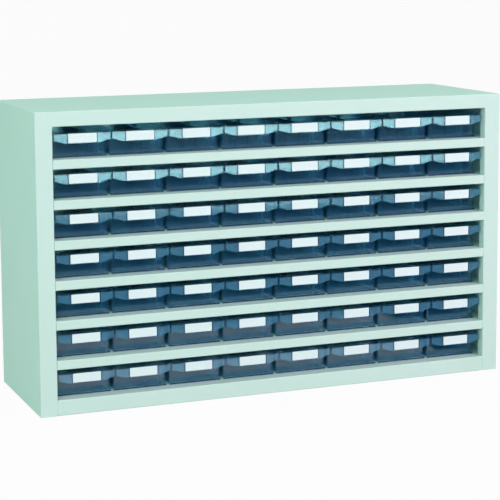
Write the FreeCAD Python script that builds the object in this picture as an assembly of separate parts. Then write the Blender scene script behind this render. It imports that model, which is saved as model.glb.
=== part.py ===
import FreeCAD, Part
import math
import os

# Parts bin cabinet: a painted sheet steel case with rows of small clear plastic drawers.
# Millimetres. X runs along the front, Y from the front to the back, Z is up.
# The origin is the centre of the footprint, on the surface that the cabinet stands on.

# Counts
rows = 7
columns = 8
divider_slots = 3

# Sheet steel
sheet = 1.0
bend_radius = 1.5
panel_gap = 0.2

# Case
case_depth = 270.0
stile_width = 30.0
stile_return = 17.0
top_rail_height = 25.6
top_rail_return = 17.0
return_step = 2.0
rear_flange = 14.0
base_flange = 15.0

# Rows, from the surface below the cabinet to the top rail
bottom_rail_height = 27.2
row_pitch = 68.6
top_opening_height = 55.6

# Shelves
shelf_lip_height = 16.2
shelf_lip_return = 9.0
shelf_rear_flange = 14.0
shelf_end_flange = 12.0

# Guide strips that stand on each shelf beside the drawers, each folded flat on itself
guide_height = 28.0
guide_start = 82.0
guide_rear_gap = 12.0

# Drawer, from the front face of its handle plate
plate_width = 98.75
plate_gap = 3.0
end_gap = 4.5
face_setback = 7.0
rear_gap = 8.0
shelf_clearance = 0.3
plate_overhang = 1.375
wall = 2.0
hood_depth = 21.0
handle_gap = 10.0
plate_height = 16.7
plate_end_height = 11.7
plate_wave_run = 22.0
side_rise = 5.2
cheek_arc_run = 20.0
rear_wall_drop = 2.3
foot_height = 2.5
foot_depth = 1.5

# Divider plate and the ribs that hold it
first_slot = 51.0
divider_thickness = 1.6
divider_drop = 7.3
divider_end_gap = 0.3
slot_clearance = 0.3
rib_width = 1.2
rib_depth = 1.5

# Label card and its holder on the handle plate
card_width = 50.0
card_height = 15.7
card_thickness = 0.4
card_gap = 0.3
holder_rib_width = 1.2
holder_rib_depth = 1.0
holder_rib_rise = 0.8

# Reach of a cutting block past the face that it opens
overrun = 5.0

# Sizes that follow
opening_width = columns * plate_width + (columns - 1) * plate_gap + 2 * end_gap
drawer_pitch = plate_width + plate_gap
body_width = plate_width - 2 * plate_overhang
opening_height = row_pitch - shelf_lip_height
handle_top = opening_height - shelf_clearance - handle_gap
side_height = handle_top + side_rise
rear_wall_height = side_height - rear_wall_drop
divider_top = side_height - divider_drop
case_width = opening_width + 2 * stile_width
case_height = bottom_rail_height + (rows - 1) * row_pitch + top_opening_height + top_rail_height
left = -case_width / 2
right = case_width / 2
front = -case_depth / 2
back = case_depth / 2
opening_left = -opening_width / 2
opening_right = opening_width / 2
opening_top = case_height - top_rail_height
back_panel_rear = back - sheet
back_panel_face = back_panel_rear - sheet
base_flange_rear = back_panel_face - sheet - panel_gap
bottom_rail_return = stile_return - return_step
drawer_length = case_depth - face_setback - rear_gap - 2 * sheet
cavity_start = hood_depth + wall
cavity_length = drawer_length - cavity_start - wall
inner_half = body_width / 2 - wall
slot_pitch = (cavity_length - first_slot) / divider_slots
first_drawer_x = opening_left + end_gap + plate_width / 2


def block(x0, x1, y0, y1, z0, z1):
    return Part.makeBox(x1 - x0, y1 - y0, z1 - z0, FreeCAD.Vector(x0, y0, z0))


def union(first, *others):
    return first.fuse(list(others)).removeSplitter().Solids[0]


def rounded_wire(points, radii):
    """Closed wire through the points, with each corner rounded by its radius."""
    arcs = []
    for index, corner in enumerate(points):
        to_last = (points[index - 1] - corner).normalize()
        to_next = (points[(index + 1) % len(points)] - corner).normalize()
        half_angle = to_last.getAngle(to_next) / 2
        radius = radii[index]
        reach = radius / math.tan(half_angle)
        inward = (to_last + to_next).normalize()
        middle = corner + inward * (radius / math.sin(half_angle) - radius)
        arcs.append((corner + to_last * reach, middle, corner + to_next * reach))
    edges = []
    for index, (start, middle, end) in enumerate(arcs):
        if radii[index] > 0:
            edges.append(Part.Arc(start, middle, end).toShape())
        edges.append(Part.LineSegment(end, arcs[(index + 1) % len(arcs)][0]).toShape())
    return Part.Wire(edges)


def folded_sheet(outer_face, x0, x1):
    """Bent sheet from x0 to x1. outer_face lists the (y, z) corners of its outer face,
    and every bend turns left, with the sheet on the left."""
    outer = [FreeCAD.Vector(x0, y, z) for y, z in outer_face]
    normals = []
    for start, end in zip(outer, outer[1:]):
        along = (end - start).normalize()
        normals.append(FreeCAD.Vector(0, -along.z, along.y))
    inner = [outer[0] + normals[0] * sheet]
    for corner, before, after in zip(outer[1:], normals, normals[1:]):
        inner.append(corner + (before + after) * (sheet / (1 + before.dot(after))))
    inner.append(outer[-1] + normals[-1] * sheet)
    inside_radius = max(bend_radius - sheet, 0)
    bends = len(outer) - 2
    radii = [0] + [bend_radius] * bends + [0, 0] + [inside_radius] * bends + [0]
    wire = rounded_wire(outer + inner[::-1], radii)
    return Part.Face(wire).extrude(FreeCAD.Vector(x1 - x0, 0, 0))


def edges_within(shape, x0, x1, y0, y1, z0, z1):
    """Straight edges of the shape that lie in the box."""
    near = sheet / 10
    box = FreeCAD.BoundBox(x0 - near, y0 - near, z0 - near, x1 + near, y1 + near, z1 + near)
    return [edge for edge in shape.Edges if box.isInside(edge.BoundBox)]


def outer_case():
    """Two sides, the top, the stiles and the top rail, folded and welded into one shell."""
    solid = block(left, right, front, back, 0, case_height)
    bends = [edge for edge in solid.Edges if edge.BoundBox.ZMax > 0]
    shell = solid.makeFillet(bend_radius, bends)
    shell = shell.cut(block(
        left + sheet, right - sheet, front + sheet, back - sheet, -overrun, case_height - sheet))
    shell = shell.cut(block(
        opening_left, opening_right, front - overrun, front + overrun, -overrun, opening_top))
    shell = shell.cut(block(
        left + rear_flange, right - rear_flange, back - overrun, back + overrun,
        -overrun, case_height - rear_flange))
    returns = [
        block(opening_left - sheet, opening_left, front, front + stile_return, 0, opening_top),
        block(opening_right, opening_right + sheet, front, front + stile_return, 0, opening_top),
        block(opening_left - sheet, opening_right + sheet, front, front + top_rail_return,
              opening_top, opening_top + sheet),
        block(left + sheet, left + base_flange, front + stile_return, base_flange_rear, 0, sheet),
        block(right - base_flange, right - sheet, front + stile_return, base_flange_rear, 0, sheet),
    ]
    case = union(shell, *returns)
    opening_edges = edges_within(
        case, opening_left, opening_right, front, front, 0, opening_top)
    return case.makeFillet(bend_radius, opening_edges)


def notched(panel):
    """The panel with its front corners cut away round the stiles' returns."""
    notch_rear = front + stile_return + panel_gap
    for inner, outer in ((opening_left + panel_gap, left), (opening_right - panel_gap, right)):
        panel = panel.cut(block(
            min(inner, outer), max(inner, outer), front - overrun, notch_rear,
            -overrun, case_height))
    return panel


def deck(top, lip_height, lip_return, rear_height):
    """Level sheet with a front lip and a rear flange turned down, and flanges at its ends."""
    outer_face = [
        (back_panel_face, top - rear_height),
        (back_panel_face, top),
        (front, top),
        (front, top - lip_height),
        (front + lip_return, top - lip_height),
    ]
    plate = folded_sheet(outer_face, left + sheet, right - sheet)
    flange_front = front + stile_return
    flange_rear = back_panel_face
    for x0, x1 in ((left + sheet, left + 2 * sheet), (right - 2 * sheet, right - sheet)):
        plate = plate.fuse(block(
            x0, x1, flange_front, flange_rear, top - shelf_end_flange, top - sheet))
    return notched(plate.removeSplitter()).Solids[0]


def guide_strips(deck_top):
    """Upright strips of doubled sheet that keep neighbouring drawers apart."""
    first = first_drawer_x - drawer_pitch / 2
    strips = []
    for place in range(columns + 1):
        x = first + place * drawer_pitch
        strips.append(block(
            x - sheet, x + sheet, front + guide_start, back_panel_face - guide_rear_gap,
            deck_top, deck_top + guide_height))
    return strips


def back_panel():
    """Plain sheet behind the decks, held by the case's rear flange."""
    return block(
        left + sheet + panel_gap, right - sheet - panel_gap, back_panel_face, back_panel_rear,
        0, case_height - sheet - panel_gap)


def handle_plate():
    """Front plate of the handle, with a lower edge that waves up towards both ends."""
    half_width = plate_width / 2
    flat_half = half_width - plate_wave_run
    low = handle_top - plate_height
    high = handle_top - plate_end_height
    run = plate_wave_run / 2
    rise = (high - low) / 2
    radius = (run ** 2 + rise ** 2) / (2 * rise)
    half_turn = math.asin(run / radius) / 2
    step_x = radius * math.sin(half_turn)
    step_z = radius * (1 - math.cos(half_turn))

    def point(x, z):
        return FreeCAD.Vector(x, 0, z)

    edges = []
    for side in (1, -1):
        flat_end = point(side * flat_half, low)
        middle = point(side * (flat_half + run), low + rise)
        tip = point(side * half_width, high)
        edges.append(Part.Arc(
            flat_end, point(side * (flat_half + step_x), low + step_z), middle).toShape())
        edges.append(Part.Arc(
            middle, point(side * (half_width - step_x), high - step_z), tip).toShape())
        edges.append(Part.LineSegment(tip, point(side * half_width, handle_top)).toShape())
    edges.append(Part.LineSegment(
        point(-flat_half, low), point(flat_half, low)).toShape())
    edges.append(Part.LineSegment(
        point(-half_width, handle_top), point(half_width, handle_top)).toShape())
    wire = Part.Wire(Part.__sortEdges__(edges))
    return Part.Face(wire).extrude(FreeCAD.Vector(0, wall, 0))


def side_profile():
    """Body of the drawer seen from its side, before it is hollowed."""
    hood_low = handle_top - wall
    radius = (cheek_arc_run ** 2 + side_rise ** 2) / (2 * side_rise)
    half_turn = math.asin(cheek_arc_run / radius) / 2

    def point(y, z):
        return FreeCAD.Vector(-body_width / 2, y, z)

    arc_middle = point(
        cheek_arc_run - radius * math.sin(half_turn),
        side_height - radius * (1 - math.cos(half_turn)))
    corners = [
        point(cheek_arc_run, side_height),
        point(drawer_length, side_height),
        point(drawer_length, 0),
        point(hood_depth, 0),
        point(hood_depth, hood_low),
        point(0, hood_low),
        point(0, handle_top),
    ]
    edges = [Part.LineSegment(a, b).toShape() for a, b in zip(corners, corners[1:])]
    edges.append(Part.Arc(corners[-1], arc_middle, corners[0]).toShape())
    return Part.Face(Part.Wire(edges)).extrude(FreeCAD.Vector(body_width, 0, 0))


def slot_ribs():
    """Pairs of upright ribs on the inside of both side walls."""
    ribs = []
    half_slot = divider_thickness / 2 + slot_clearance
    for slot in range(divider_slots):
        centre = cavity_start + first_slot + slot * slot_pitch
        for y0 in (centre - half_slot - rib_width, centre + half_slot):
            for x0, x1 in ((-inner_half, rib_depth - inner_half), (inner_half - rib_depth, inner_half)):
                ribs.append(block(x0, x1, y0, y0 + rib_width, wall, divider_top))
    return ribs


def label_holder():
    """Two ribs that the label card slides in between."""
    low = handle_top - plate_height
    high = handle_top + holder_rib_rise
    inside = card_width / 2 + card_gap
    outside = inside + holder_rib_width
    return [
        block(-outside, -inside, -holder_rib_depth, wall, low, high),
        block(inside, outside, -holder_rib_depth, wall, low, high),
    ]


def tray():
    """Moulded drawer: walls, floor, hooded handle over a finger gap, foot and slot ribs."""
    body = side_profile()
    body = body.cut(block(
        -inner_half, inner_half, cavity_start, drawer_length - wall, wall, side_height + overrun))
    body = body.cut(block(
        -inner_half, inner_half, 0, cavity_start, handle_top, side_height + overrun))
    body = body.cut(block(
        -inner_half, inner_half, drawer_length - wall, drawer_length, rear_wall_height,
        side_height + overrun))
    foot = block(
        -body_width / 2, body_width / 2, hood_depth - foot_depth, hood_depth, 0, foot_height)
    return union(body, handle_plate(), foot, *slot_ribs(), *label_holder())


def divider():
    """Loose plate in the rear slot."""
    centre = cavity_start + first_slot + (divider_slots - 1) * slot_pitch
    return block(
        divider_end_gap - inner_half, inner_half - divider_end_gap,
        centre - divider_thickness / 2, centre + divider_thickness / 2,
        wall, divider_top)


def label_card():
    """Blank card that lies on the handle plate."""
    return block(
        -card_width / 2, card_width / 2, -card_thickness, 0, handle_top - card_height, handle_top)


def drawer():
    return Part.makeCompound([tray(), divider(), label_card()])


def deck_top(row):
    """Height of the deck that carries a row, counted from the top row down."""
    return bottom_rail_height + (rows - row) * row_pitch


def write(name, shape):
    shape.exportStep(os.path.join("parts", name + ".step"))


os.makedirs("parts", exist_ok=True)
write("outer_case", outer_case())
write("back_panel", back_panel())

floor_deck = deck(bottom_rail_height, bottom_rail_height, bottom_rail_return, bottom_rail_height)
write("bottom_panel", Part.makeCompound([floor_deck] + guide_strips(bottom_rail_height)))

shelf_parts = []
for row in range(1, rows):
    top = deck_top(row)
    shelf_parts.append(deck(top, shelf_lip_height, shelf_lip_return, shelf_rear_flange))
    shelf_parts.extend(guide_strips(top))
write("shelves", Part.makeCompound(shelf_parts))

pattern = drawer()
for row in range(1, rows + 1):
    for column in range(1, columns + 1):
        placed = pattern.copy()
        placed.translate(FreeCAD.Vector(
            first_drawer_x + (column - 1) * drawer_pitch,
            front + face_setback,
            deck_top(row) + shelf_clearance))
        write("drawer_r" + str(row) + "_c" + str(column), placed)
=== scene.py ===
import math

import bpy
from mathutils import Matrix, Vector


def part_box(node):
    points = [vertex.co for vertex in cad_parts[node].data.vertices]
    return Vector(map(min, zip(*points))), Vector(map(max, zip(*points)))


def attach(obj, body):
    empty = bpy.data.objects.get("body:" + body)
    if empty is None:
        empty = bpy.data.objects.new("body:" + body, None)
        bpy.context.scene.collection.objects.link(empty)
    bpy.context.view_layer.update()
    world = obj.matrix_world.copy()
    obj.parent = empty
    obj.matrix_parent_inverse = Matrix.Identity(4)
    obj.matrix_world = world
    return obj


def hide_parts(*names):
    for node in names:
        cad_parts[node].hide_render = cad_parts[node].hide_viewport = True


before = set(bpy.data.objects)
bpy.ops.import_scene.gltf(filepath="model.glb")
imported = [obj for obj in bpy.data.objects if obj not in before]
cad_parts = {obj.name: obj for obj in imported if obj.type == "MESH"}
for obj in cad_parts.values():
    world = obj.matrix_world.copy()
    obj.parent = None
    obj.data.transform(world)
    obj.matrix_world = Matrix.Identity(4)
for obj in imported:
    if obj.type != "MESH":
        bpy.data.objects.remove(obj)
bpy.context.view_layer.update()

# Parts bin cabinet: painted sheet steel case, clear smoke-blue drawers, white label cards.
# Metres, from the middle of the footprint. X runs along the front, Y from front to back, Z up.

MM = 0.001
# A point this close to a plane counts as lying on it
TOUCH = MM / 10

ROWS = 7
COLUMNS = 8

# Drawer, measured from the front face of its handle plate and from its underside
PLATE_HALF = 49.375 * MM
BODY_HALF = 48.0 * MM
WALL = 2.0 * MM
LENGTH = 253.0 * MM
SIDE_HEIGHT = 47.3 * MM
HANDLE_TOP = 42.1 * MM
PLATE_LOW = 25.4 * MM
PLATE_END_LOW = 30.4 * MM
PLATE_WAVE = 22.0 * MM
HOOD_DEPTH = 21.0 * MM
CHEEK_RUN = 20.0 * MM
REAR_HEIGHT = 45.0 * MM
FOOT_HEIGHT = 2.5 * MM
FOOT_DEPTH = 1.5 * MM
RIB_WIDTH = 1.2 * MM
RIB_DEPTH = 1.5 * MM
DIVIDER_THICK = 1.6 * MM
DIVIDER_TOP = 40.0 * MM
DIVIDER_GAP = 0.3 * MM
SLOT_CENTRES = (74.0 * MM, 133.0 * MM, 192.0 * MM)
SLOT_HALF = 1.1 * MM
CARD_HALF = 25.0 * MM
CARD_LOW = 26.4 * MM
CARD_THICK = 0.4 * MM
HOLDER_INNER = 25.3 * MM
HOLDER_OUTER = 26.5 * MM
HOLDER_DEPTH = 1.0 * MM
HOLDER_TOP = 42.9 * MM
FRONT_DRAFT = 2.5 * MM
# How far a cutting block reaches past what it cuts
OVERRUN = 8.0 * MM

# Corners, soft edges and the number of flats that a curve is made of
BODY_CORNER = 3.0 * MM
INNER_CORNER = 2.0 * MM
DIVIDER_CORNER = 1.5 * MM
CARD_CORNER = 0.6 * MM
TRAY_SOFT_EDGE = 0.35 * MM
DIVIDER_SOFT_EDGE = 0.2 * MM
CARD_SOFT_EDGE = 0.1 * MM
CORNER_STEPS = 3
INNER_CORNER_STEPS = 2
SOFT_EDGE_STEPS = 2
ARC_STEPS = 6
WAVE_STEPS = 8
# Edges that bend more than the first are rounded, and shading breaks at edges that still bend
# more than the second
ROUNDED_BEND = math.radians(30)
SHARP_BEND = math.radians(35)

# Bending of light
PAINT_IOR = 1.5
POLYSTYRENE_IOR = 1.59


def only(piece):
    """Leaves this piece alone selected and active."""
    bpy.ops.object.select_all(action="DESELECT")
    piece.select_set(True)
    bpy.context.view_layer.objects.active = piece


def settle(piece):
    """Puts the piece's place and scale into its mesh."""
    only(piece)
    bpy.ops.object.transform_apply(location=True, rotation=True, scale=True)


def block(name, low, high):
    """Cube primitive stretched between two corners."""
    low, high = Vector(low), Vector(high)
    bpy.ops.mesh.primitive_cube_add(size=1, location=(low + high) / 2)
    piece = bpy.context.object
    piece.name = name
    piece.scale = high - low
    settle(piece)
    return piece


def level_sheet(name, width, depth, place):
    """Plane primitive of this size, lying level round its place."""
    bpy.ops.mesh.primitive_plane_add(size=1)
    piece = bpy.context.object
    piece.name = name
    piece.scale = (width, depth, 1)
    piece.location = place
    settle(piece)
    return piece


def pick(piece, kind, wanted):
    """Edit mode on the piece, with only the wanted vertices or edges selected."""
    only(piece)
    bpy.ops.object.mode_set(mode="EDIT")
    bpy.ops.mesh.select_mode(type=kind)
    bpy.ops.mesh.select_all(action="DESELECT")
    bpy.ops.object.mode_set(mode="OBJECT")
    mesh = piece.data
    for part in {"VERT": mesh.vertices, "EDGE": mesh.edges}[kind]:
        points = [part.co] if kind == "VERT" else [mesh.vertices[v].co for v in part.vertices]
        part.select = wanted(points)
    bpy.ops.object.mode_set(mode="EDIT")


def done():
    """Leaves edit mode, which writes the edit into the mesh."""
    bpy.ops.object.mode_set(mode="OBJECT")


def round_edges(piece, wanted, radius, segments):
    pick(piece, "EDGE", wanted)
    bpy.ops.mesh.bevel(offset=radius, segments=segments, affect="EDGES")
    done()


def shift(piece, wanted, way):
    """Moves the wanted vertices."""
    pick(piece, "VERT", wanted)
    bpy.ops.transform.translate(value=way)
    done()


def cut(piece, point, outward, drop_outer):
    """Cuts the faces along a plane. What lies outward can be dropped and the piece closed."""
    pick(piece, "VERT", lambda points: True)
    bpy.ops.mesh.bisect(
        plane_co=point, plane_no=outward, use_fill=drop_outer, clear_outer=drop_outer)
    done()


def apply_modifier(piece, kind, **settings):
    only(piece)
    modifier = piece.modifiers.new(kind.lower(), kind)
    for name, value in settings.items():
        setattr(modifier, name, value)
    bpy.ops.object.modifier_apply(modifier=modifier.name)


def combine(piece, operation, tools):
    for tool in tools:
        apply_modifier(piece, "BOOLEAN", operation=operation, solver="EXACT", object=tool)
        bpy.data.objects.remove(tool)


def weld(piece, *tools):
    """Makes the tools part of the piece."""
    combine(piece, "UNION", tools)


def carve(piece, *tools):
    """Takes the tools out of the piece."""
    combine(piece, "DIFFERENCE", tools)


def joined(pieces):
    bpy.ops.object.select_all(action="DESELECT")
    for piece in pieces:
        piece.select_set(True)
    bpy.context.view_layer.objects.active = pieces[0]
    bpy.ops.object.join()
    return pieces[0]


def upright(points):
    return abs(points[0].z - points[1].z) > (points[0] - points[1]).to_2d().length


def below(points, height):
    return max(p.z for p in points) < height


def tub():
    """Rounded block behind the finger gap, still solid."""
    piece = block("tub", (-BODY_HALF, HOOD_DEPTH, 0), (BODY_HALF, LENGTH, SIDE_HEIGHT))
    shift(piece, lambda p: p[0].y < HOOD_DEPTH + MM and p[0].z < MM, (0, FRONT_DRAFT, 0))
    round_edges(piece, lambda p: upright(p) or below(p, TOUCH), BODY_CORNER, CORNER_STEPS)
    return piece


def hood():
    """Block over the finger gap, whose top sweeps down to the handle plate."""
    piece = block(
        "hood", (-BODY_HALF, WALL / 2, HANDLE_TOP - WALL),
        (BODY_HALF, HOOD_DEPTH + 2 * BODY_CORNER, SIDE_HEIGHT))
    rise = SIDE_HEIGHT - HANDLE_TOP
    radius = (CHEEK_RUN ** 2 + rise ** 2) / (2 * rise)
    turn = math.asin(CHEEK_RUN / radius)
    centre = Vector((0, CHEEK_RUN, SIDE_HEIGHT - radius))
    for step in range(ARC_STEPS):
        angle = turn * (step + 0.5) / ARC_STEPS
        outward = Vector((0, -math.sin(angle), math.cos(angle)))
        cut(piece, centre + outward * radius, outward, drop_outer=True)
    return piece


def cavity():
    """Space inside the walls."""
    piece = block(
        "cavity", (WALL - BODY_HALF, HOOD_DEPTH + WALL, WALL),
        (BODY_HALF - WALL, LENGTH - WALL, SIDE_HEIGHT + OVERRUN))
    low = WALL + TOUCH
    shift(piece, lambda p: p[0].y < HOOD_DEPTH + WALL + MM and p[0].z < low,
          (0, FRONT_DRAFT, 0))
    round_edges(
        piece, lambda p: upright(p) or below(p, low), INNER_CORNER, INNER_CORNER_STEPS)
    return piece


def handle_plate():
    """Front plate, with a lower edge that waves up towards both ends."""
    piece = block(
        "handle_plate", (-PLATE_HALF, 0, PLATE_LOW), (PLATE_HALF, WALL, HANDLE_TOP))
    flat_half = PLATE_HALF - PLATE_WAVE
    columns = [flat_half + PLATE_WAVE * step / WAVE_STEPS for step in range(WAVE_STEPS)]
    for x in columns:
        for side in (-1, 1):
            cut(piece, (side * x, 0, 0), (1, 0, 0), drop_outer=False)
    for x in columns[1:] + [PLATE_HALF]:
        share = (x - flat_half) / PLATE_WAVE
        lift = (PLATE_END_LOW - PLATE_LOW) * (1 - math.cos(math.pi * share)) / 2
        shift(piece, lambda p: abs(abs(p[0].x) - x) < TOUCH and p[0].z < PLATE_LOW + TOUCH,
              (0, 0, lift))
    return piece


def slot_ribs():
    """Pairs of upright ribs that hold the divider plate."""
    inner = BODY_HALF - WALL
    ribs = []
    for centre in SLOT_CENTRES:
        for near in (centre - SLOT_HALF - RIB_WIDTH, centre + SLOT_HALF):
            for side in (-1, 1):
                xs = sorted((side * (inner - RIB_DEPTH), side * (inner + WALL / 2)))
                ribs.append(block(
                    "rib", (xs[0], near, WALL / 2), (xs[1], near + RIB_WIDTH, DIVIDER_TOP)))
    return joined(ribs)


def label_holder():
    """Two ribs on the handle plate that the card slides in between."""
    return joined([
        block("holder", (left, -HOLDER_DEPTH, PLATE_LOW), (right, WALL / 2, HOLDER_TOP))
        for left, right in ((-HOLDER_OUTER, -HOLDER_INNER), (HOLDER_INNER, HOLDER_OUTER))])


def soften(piece, width):
    """Rounds the sharp edges as a mould leaves them, and shades the rest smooth."""
    apply_modifier(
        piece, "BEVEL", width=width, segments=SOFT_EDGE_STEPS, limit_method="ANGLE",
        angle_limit=ROUNDED_BEND, use_clamp_overlap=True)
    only(piece)
    bpy.ops.object.shade_smooth_by_angle(angle=SHARP_BEND)
    # Large faces stay flat in reflections, and only the rounded edges bend them
    apply_modifier(piece, "WEIGHTED_NORMAL", mode="FACE_AREA", weight=100, keep_sharp=True)


def tray():
    """Drawer moulded in one: walls, floor, hooded handle, foot and ribs."""
    piece = tub()
    weld(piece, hood())
    inner = BODY_HALF - WALL
    carve(
        piece, cavity(),
        block("over_hood", (-inner, -OVERRUN, HANDLE_TOP),
              (inner, HOOD_DEPTH + WALL + INNER_CORNER, SIDE_HEIGHT + OVERRUN)),
        block("over_rear", (-inner, LENGTH - WALL - INNER_CORNER, REAR_HEIGHT),
              (inner, LENGTH + OVERRUN, SIDE_HEIGHT + OVERRUN)))
    foot = block(
        "foot", (-BODY_HALF, HOOD_DEPTH - FOOT_DEPTH, 0),
        (BODY_HALF, HOOD_DEPTH + BODY_CORNER + WALL / 2, FOOT_HEIGHT))
    weld(piece, handle_plate(), foot, slot_ribs(), label_holder())
    soften(piece, TRAY_SOFT_EDGE)
    return piece


def divider():
    """Loose plate that stands in the rear slot."""
    half = BODY_HALF - WALL - DIVIDER_GAP
    centre = SLOT_CENTRES[-1]
    piece = block(
        "divider", (-half, centre - DIVIDER_THICK / 2, WALL),
        (half, centre + DIVIDER_THICK / 2, DIVIDER_TOP))
    round_edges(piece, lambda p: abs(p[0].y - p[1].y) > DIVIDER_THICK / 2,
                DIVIDER_CORNER, CORNER_STEPS)
    soften(piece, DIVIDER_SOFT_EDGE)
    return piece


def label_card():
    """Blank card on the handle plate."""
    piece = block("label_card", (-CARD_HALF, -CARD_THICK, CARD_LOW), (CARD_HALF, 0, HANDLE_TOP))
    round_edges(piece, lambda p: abs(p[0].y - p[1].y) > CARD_THICK / 2,
                CARD_CORNER, CORNER_STEPS)
    soften(piece, CARD_SOFT_EDGE)
    return piece


def linear(code):
    """sRGB hex value turned to linear colour."""
    values = [int(code[i:i + 2], 16) / 255 for i in (1, 3, 5)]
    return [v / 12.92 if v <= 0.04045 else ((v + 0.055) / 1.055) ** 2.4 for v in values] + [1]


def bare(owner):
    """Material or world with an empty node tree."""
    owner.use_nodes = True
    owner.node_tree.nodes.clear()
    return owner


def node(owner, kind, settings=None, **inputs):
    """Adds a node. Settings are its own choices. Inputs are values or sockets to link, by
    name or, as n0, n1 and so on, by number."""
    tree = owner.node_tree
    added = tree.nodes.new(kind)
    for name, value in (settings or {}).items():
        setattr(added, name, value)
    for name, value in inputs.items():
        numbered = name[0] == "n" and name[1:].isdigit()
        socket = added.inputs[int(name[1:]) if numbered else name.replace("_", " ")]
        if isinstance(value, bpy.types.NodeSocket):
            tree.links.new(value, socket)
        else:
            socket.default_value = value
    return added


def grain(owner, length, detail):
    """Noise that stays with the piece, with waves of this length."""
    place = node(owner, "ShaderNodeTexCoord").outputs["Object"]
    return node(owner, "ShaderNodeTexNoise", Vector=place, Scale=1 / length,
                Detail=detail).outputs["Fac"]


def relief(owner, height, strength, depth):
    return node(owner, "ShaderNodeBump", Strength=strength, Distance=depth,
                Height=height).outputs["Normal"]


def drift(owner, share, low_code, high_code):
    """Colour between two. The node's inputs 6 and 7 and its output 2 are the colour ones."""
    return node(owner, "ShaderNodeMix", {"data_type": "RGBA"}, n0=share,
                n6=linear(low_code), n7=linear(high_code)).outputs[2]


def mixed(owner, share, first, second):
    """Two shaders in one, with this share of the second."""
    return node(owner, "ShaderNodeMixShader", n0=share, n1=first, n2=second).outputs[0]


def seen(owner):
    """1 where the owner is looked at, straight, in a mirror image or through something clear,
    and 0 where it lights something matte."""
    rays = node(owner, "ShaderNodeLightPath").outputs
    share = rays["Is Camera Ray"]
    for kind in ("Is Glossy Ray", "Is Transmission Ray"):
        share = node(owner, "ShaderNodeMath", {"operation": "MAXIMUM"}, n0=share,
                     n1=rays[kind]).outputs[0]
    return share


def powder_coat():
    """Powder-coated mild steel sheet, sprayed and baked. The eye gets an even, satin mint
    skin with a faint orange peel, a soft sheen and a whisper of colour drift."""
    paint = bare(bpy.data.materials.new("powder_coated_steel"))
    # Orange peel: real waves are 2 to 3 mm long, at the limit of what the picture shows
    peel = grain(paint, 3 * MM, 2.0)
    # Film thickness drifts over about 120 mm
    film = grain(paint, 120 * MM, 1.0)
    gloss = node(paint, "ShaderNodeMapRange", Value=peel, To_Min=0.56, To_Max=0.64)
    skin = node(paint, "ShaderNodeBsdfPrincipled", IOR=PAINT_IOR,
                Base_Color=drift(paint, film, "#BAE1D6", "#BFE4DA"),
                Roughness=gloss.outputs["Result"],
                Normal=relief(paint, peel, strength=0.12, depth=0.05 * MM))
    node(paint, "ShaderNodeOutputMaterial", Surface=skin.outputs["BSDF"])
    return paint


def clear_moulding(name, tint, haze, haze_share, roughness, flow_length):
    """Injection-moulded polystyrene, clear and dyed smoke blue. The eye gets a see-through
    wall that darkens where walls overlap, with glossy edges."""
    plastic = bare(bpy.data.materials.new(name))
    clear = node(plastic, "ShaderNodeBsdfTransparent", Color=linear(tint))
    scatter = node(plastic, "ShaderNodeBsdfDiffuse", Color=linear(haze))
    wall = mixed(plastic, haze_share, clear.outputs[0], scatter.outputs[0])
    flow = grain(plastic, flow_length, 2.0)
    gloss = node(plastic, "ShaderNodeBsdfGlossy", Roughness=roughness,
                 Normal=relief(plastic, flow, strength=0.1, depth=0.1 * MM))
    # Light leaves a wall as it came in: the far face of a thin wall never mirrors all of it
    side = node(plastic, "ShaderNodeNewGeometry").outputs["Backfacing"]
    index = node(plastic, "ShaderNodeMapRange", Value=side,
                 To_Min=POLYSTYRENE_IOR, To_Max=1 / POLYSTYRENE_IOR)
    edge = node(plastic, "ShaderNodeFresnel", IOR=index.outputs["Result"])
    node(plastic, "ShaderNodeOutputMaterial",
         Surface=mixed(plastic, edge.outputs[0], wall, gloss.outputs[0]))
    return plastic


def card_stock():
    """Uncoated white card, die cut. The eye gets a matte, slightly fibrous white."""
    card = bare(bpy.data.materials.new("white_card"))
    # Fibres are 1 to 2 mm long; drawn at 2 mm
    fibre = grain(card, 2 * MM, 4.0)
    skin = node(card, "ShaderNodeBsdfPrincipled", Roughness=0.8,
                Base_Color=drift(card, fibre, "#CDEAE8", "#D3EFEE"),
                Normal=relief(card, fibre, strength=0.2, depth=0.03 * MM))
    node(card, "ShaderNodeOutputMaterial", Surface=skin.outputs["BSDF"])
    return card


def white_paper():
    """Paper of the sweep. The eye gets near white with a faint shadow round the cabinet."""
    paper = bare(bpy.data.materials.new("white_paper_sweep"))
    glow_share = node(paper, "ShaderNodeMath", {"operation": "MULTIPLY"}, n0=seen(paper),
                      n1=0.96)
    matte = node(paper, "ShaderNodeBsdfDiffuse", Color=linear("#B4C2B8"))
    glow = node(paper, "ShaderNodeEmission", Strength=1.0)
    node(paper, "ShaderNodeOutputMaterial",
         Surface=mixed(paper, glow_share.outputs[0], matte.outputs[0], glow.outputs[0]))
    return paper


def black_velvet():
    velvet = bare(bpy.data.materials.new("black_velvet"))
    matte = node(velvet, "ShaderNodeBsdfDiffuse", Color=linear("#0A0A0C"))
    node(velvet, "ShaderNodeOutputMaterial", Surface=matte.outputs[0])
    return velvet


def studio():
    """World that is white to the eye and lights the cabinet only faintly."""
    world = bare(bpy.data.worlds.new("studio"))
    ambient = node(world, "ShaderNodeBackground", Color=linear("#EAF3EF"), Strength=0.15)
    white = node(world, "ShaderNodeBackground", Color=(1, 1, 1, 1), Strength=1.0)
    node(world, "ShaderNodeOutputWorld",
         Surface=mixed(world, seen(world), ambient.outputs[0], white.outputs[0]))
    return world


def coat(piece, *materials):
    piece.data.materials.clear()
    for material in materials:
        piece.data.materials.append(material)


# The tray's materials, in the order in which it is coated
PLAIN, FROSTED, FLANK_PAINTED_SHADE, DEEP_PAINTED_SHADE = range(4)
# How far sideways a face has to look to count as the plate's end, or as a flank of the drawer
END_SIDEWAYS = 0.3
FLANK_SIDEWAYS = 0.7


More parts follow.
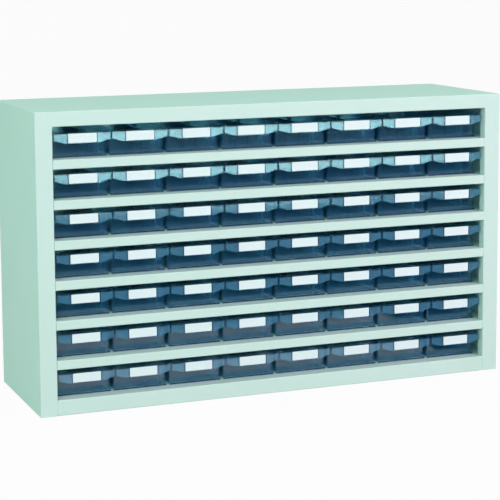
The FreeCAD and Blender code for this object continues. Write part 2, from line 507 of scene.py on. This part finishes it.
def tray_material(face):
    """Number of the tray's material that a face gets."""
    x, y, z = abs(face.center.x), face.center.y, face.center.z
    sideways = abs(face.normal.x)
    in_plate = y < WALL + TOUCH
    on_rib = y < -TOUCH
    on_end = in_plate and sideways > END_SIDEWAYS and x > PLATE_HALF - MM / 2
    on_foot = y < HOOD_DEPTH + MM and z < FOOT_HEIGHT + TOUCH
    # Plate ends, card ribs and foot take the dark material, whose dark haze is painted shade
    if on_rib or on_end or on_foot:
        return DEEP_PAINTED_SHADE
    # Outer side faces take the darker tint, painted shade in the gaps between drawers
    if sideways > FLANK_SIDEWAYS and x > BODY_HALF - TOUCH:
        return FLANK_PAINTED_SHADE
    return FROSTED if in_plate and z < HANDLE_TOP - MM else PLAIN


def placed(pattern, name, corner):
    """Copy of a pattern with a mesh of its own, moved to its place in the mesh."""
    mesh = pattern.data.copy()
    mesh.name = name
    mesh.transform(Matrix.Translation(corner))
    copy = bpy.data.objects.new(name, mesh)
    bpy.context.scene.collection.objects.link(copy)
    return copy


# Painted steel on the case
paint = powder_coat()
for name in ("outer_case", "back_panel", "bottom_panel", "shelves"):
    coat(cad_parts[name], paint)

# Drawers
walls = clear_moulding(
    "clear_smoke_blue_polystyrene", tint="#EEFAFD", haze="#4FB0F4", haze_share=0.058,
    roughness=0.09, flow_length=15 * MM)
frosted = clear_moulding(
    "frosted_smoke_blue_polystyrene", tint="#E6F8FD", haze="#7CD2FA", haze_share=0.13,
    roughness=0.12, flow_length=3 * MM)
# The same plastic on the drawers' outer side faces, with a deeper tint and almost no haze:
# painted shade in the gaps between drawers, and the longer path through the dye where the eye
# meets the wall nearly edge on
flanks_painted_shade = clear_moulding(
    "clear_smoke_blue_polystyrene_edge_on_painted_shade", tint="#D2E9F5", haze="#6FBDEC", haze_share=0.01,
    roughness=0.09, flow_length=15 * MM)
# The handle plate's ends, the card's ribs and the solid foot get a dark, mostly matte haze:
# painted shade for the dark lines at the gaps between plates, beside the card and under the
# drawer's front, over the deeper tint where light runs along the sheet
ends_painted_shade = clear_moulding(
    "deep_smoke_blue_polystyrene_ends_painted_shade", tint="#8FB4CE", haze="#1E3A5C", haze_share=0.8,
    roughness=0.12, flow_length=15 * MM)

tray_pattern = tray()
coat(tray_pattern, walls, frosted, flanks_painted_shade, ends_painted_shade)
for face in tray_pattern.data.polygons:
    face.material_index = tray_material(face)
divider_pattern = divider()
coat(divider_pattern, walls)
card_pattern = label_card()
coat(card_pattern, card_stock())

for row in range(1, ROWS + 1):
    for column in range(1, COLUMNS + 1):
        body = "drawer_r%d_c%d" % (row, column)
        low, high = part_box(body)
        corner = Vector(((low.x + high.x) / 2, low.y + HOLDER_DEPTH, low.z))
        for pattern, label, slot in (
                (tray_pattern, "tray", "drawer_plastic"),
                (divider_pattern, "divider", "drawer_plastic"),
                (card_pattern, "label_card", "label_card")):
            piece = placed(pattern, body.replace("drawer", label), corner)
            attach(piece, body)
            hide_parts(body)
for pattern in (tray_pattern, divider_pattern, card_pattern):
    bpy.data.objects.remove(pattern)

# Floor and backdrop: one white sweep that keeps the cabinet's shadow
SWEEP_WIDTH = 24
SWEEP_DEPTH = 18
SWEEP_HEIGHT = 9
SWEEP_MIDDLE = -3
SWEEP_DROP = 0.2 * MM
SWEEP_BEND = 1.5
SWEEP_BEND_STEPS = 8
sweep = level_sheet("sweep", SWEEP_WIDTH, SWEEP_DEPTH, (0, SWEEP_MIDDLE, -SWEEP_DROP))


def at_rear(points):
    return min(p.y for p in points) > SWEEP_MIDDLE + SWEEP_DEPTH / 2 - TOUCH


pick(sweep, "EDGE", at_rear)
bpy.ops.mesh.extrude_region_move(TRANSFORM_OT_translate={"value": (0, 0, SWEEP_HEIGHT)})
done()
round_edges(sweep, lambda p: at_rear(p) and below(p, TOUCH), SWEEP_BEND, SWEEP_BEND_STEPS)
only(sweep)
bpy.ops.object.shade_smooth()
coat(sweep, white_paper())

# Light
bpy.context.scene.world = studio()


def softbox(name, place, target, width, height, radiance, code):
    lamp = bpy.data.lights.new(name, "AREA")
    lamp.shape = "RECTANGLE"
    lamp.size = width
    lamp.size_y = height
    lamp.energy = radiance * math.pi * width * height
    lamp.color = linear(code)[:3]
    holder = bpy.data.objects.new(name, lamp)
    bpy.context.scene.collection.objects.link(holder)
    holder.location = place
    holder.rotation_euler = (Vector(target) - Vector(place)).to_track_quat("-Z", "Y").to_euler()
    holder.visible_camera = False
    return holder


# Name, place, what it faces, width, height, radiance and colour
for settings in (
        ("key", (-2.3, -2.9, 2.7), (0.0, -0.1, 0.26), 3.0, 2.2, 4.3, "#F2FCF8"),
        ("low_key", (-3.0, -2.4, 0.6), (0.0, -0.1, 0.26), 1.4, 1.0, 6.0, "#FFE8F0"),
        ("front_fill", (2.1, -2.9, 1.8), (0.1, -0.1, 0.2), 2.4, 1.2, 12.8, "#FFD4E6"),
        ("left_fill", (-3.0, 0.4, 2.2), (-0.44, 0.1, 0.5), 1.2, 1.2, 5.5, "#E0FFF2"),
        ("top_fill", (1.9, 0.6, 3.7), (0.0, 0.0, 0.5), 2.0, 2.0, 3.0, "#C8FFE8")):
    softbox(*settings).visible_glossy = False
# Seen in the gloss of the upper rows, but not felt as light
gleam = softbox("gleam", (0.72, -2.0, 0.36), (0.72, 0, 0.36), 1.32, 0.54, 7.0, "#CFFFF2")
gleam.visible_diffuse = False

# Black velvet flags on the floor, in front and to the right, so that the clear walls mirror a
# dark studio there
velvet = black_velvet()
for name, width, depth, place in (
        ("flag_front", 12, 7.1, (0, -4.0, MM)),
        ("flag_right", 5.0, 0.31, (2.88, -0.295, MM))):
    flag = level_sheet(name, width, depth, place)
    coat(flag, velvet)
    flag.visible_camera = False
    flag.visible_diffuse = False
    flag.visible_transmission = False
    flag.visible_shadow = False

# Camera at the photograph's place. The image is 500 by 500.
IMAGE = 500
FOCAL_PIXELS = 1683.2
SENSOR = 36.0
CAMERA_PLACE = (-1.12956, -2.84707, 0.77642)
CAMERA_YAW, CAMERA_PITCH, CAMERA_ROLL = (math.radians(a) for a in (21.587, -7.449, -0.350))
camera = bpy.data.cameras.new("camera")
camera.sensor_width = SENSOR
camera.lens = FOCAL_PIXELS * SENSOR / IMAGE
camera.shift_y = -0.15
camera.clip_end = 100
view = bpy.data.objects.new("camera", camera)
bpy.context.scene.collection.objects.link(view)
turn = (Matrix.Rotation(-CAMERA_YAW, 3, "Z")
        @ Matrix.Rotation(math.pi / 2 + CAMERA_PITCH, 3, "X")
        @ Matrix.Rotation(CAMERA_ROLL, 3, "Z"))
view.matrix_world = Matrix.Translation(CAMERA_PLACE) @ turn.to_4x4()

scene = bpy.context.scene
scene.camera = view
scene.view_settings.view_transform = "Standard"
# A ray crosses many clear walls before it meets steel
scene.cycles.transparent_max_bounces = 32
